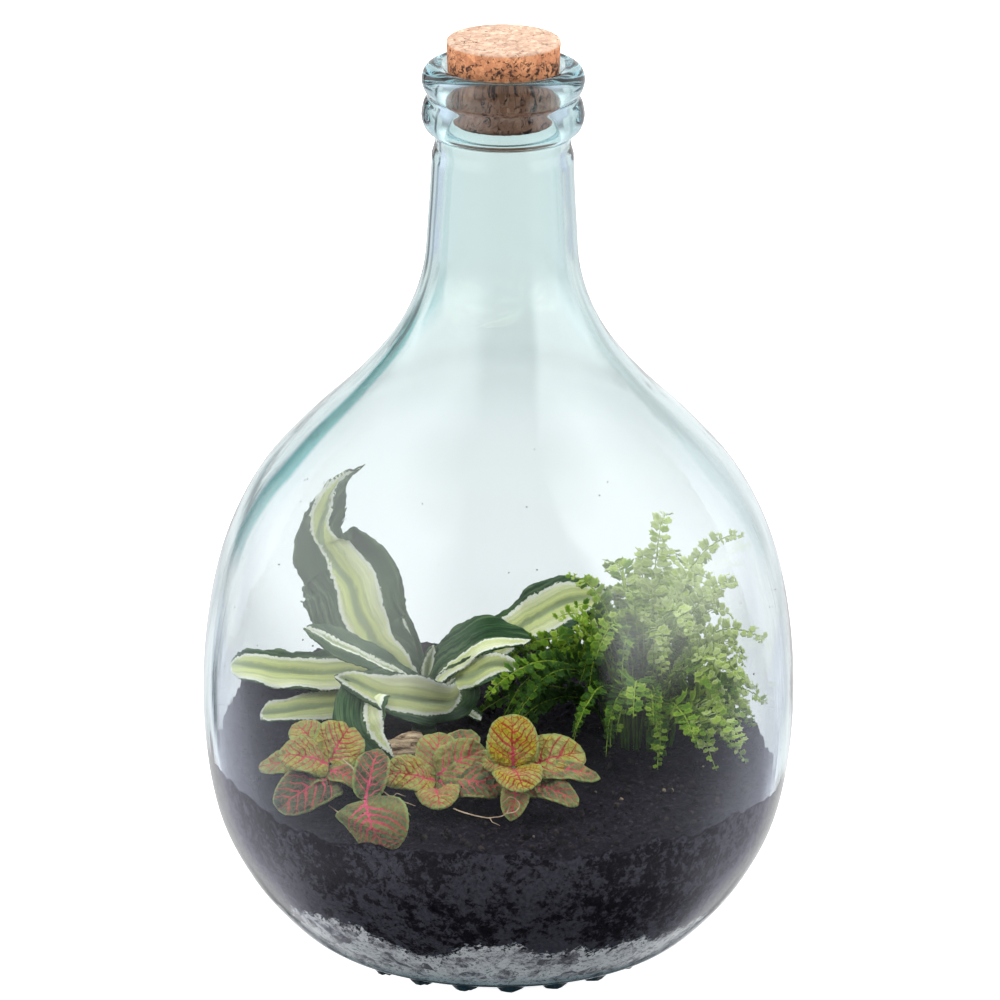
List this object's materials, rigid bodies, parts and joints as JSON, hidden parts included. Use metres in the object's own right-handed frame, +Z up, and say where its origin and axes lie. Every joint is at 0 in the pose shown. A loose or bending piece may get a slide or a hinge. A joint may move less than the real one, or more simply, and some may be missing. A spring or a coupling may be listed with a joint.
{
  "type": "glass plant terrarium",
  "caption": "Corked glass demijohn with a round body and ringed neck, holding layered gravel and soil planted with a striped dracaena, a button fern and a pink-veined nerve plant.",
  "frame": {"origin": "on the bottle's axis, at the height of the surface its base knobs stand on", "axes": "+Z up along the bottle's axis, -Y towards the viewer's side with the nerve plant, +X to the fern's side"},
  "size_m": [0.2292, 0.2306, 0.366],
  "materials": {
    "glass": "clear blown glass with a faint sea-green tint",
    "cork": "dry pressed cork granules",
    "gravel": "pale grey crushed stone",
    "soil": "dark damp potting soil",
    "bark": "dry pale bark",
    "dracaena_leaf": "satin leaf, dark green with cream and yellow-green stripes",
    "fern_leaf": "soft bright green leaf",
    "nerve_leaf": "olive leaf with a net of pink veins"
  },
  "bodies": {
    "root": {"glass_bottle": "glass", "cork_stopper": "cork", "drainage_gravel": "gravel", "potting_soil": "soil", "bark_chip": "bark", "dracaena": "dracaena_leaf", "fern_frond_01": "fern_leaf", "fern_frond_02": "fern_leaf", "fern_frond_03": "fern_leaf", "fern_frond_04": "fern_leaf", "fern_frond_05": "fern_leaf", "fern_frond_06": "fern_leaf", "fern_frond_07": "fern_leaf", "fern_frond_08": "fern_leaf", "fern_frond_09": "fern_leaf", "fern_frond_10": "fern_leaf", "fern_frond_11": "fern_leaf", "fern_frond_12": "fern_leaf", "fern_frond_13": "fern_leaf", "fern_frond_14": "fern_leaf", "fern_frond_15": "fern_leaf", "fern_frond_16": "fern_leaf", "fern_frond_17": "fern_leaf", "fern_frond_18": "fern_leaf", "fern_frond_19": "fern_leaf", "fern_frond_20": "fern_leaf", "fern_frond_21": "fern_leaf", "fern_frond_22": "fern_leaf", "fern_frond_23": "fern_leaf", "fern_frond_24": "fern_leaf", "fern_frond_25": "fern_leaf", "nerve_plant_left": "nerve_leaf", "nerve_plant_front": "nerve_leaf", "nerve_plant_middle": "nerve_leaf", "nerve_plant_right": "nerve_leaf"}
  },
  "joints": []
}
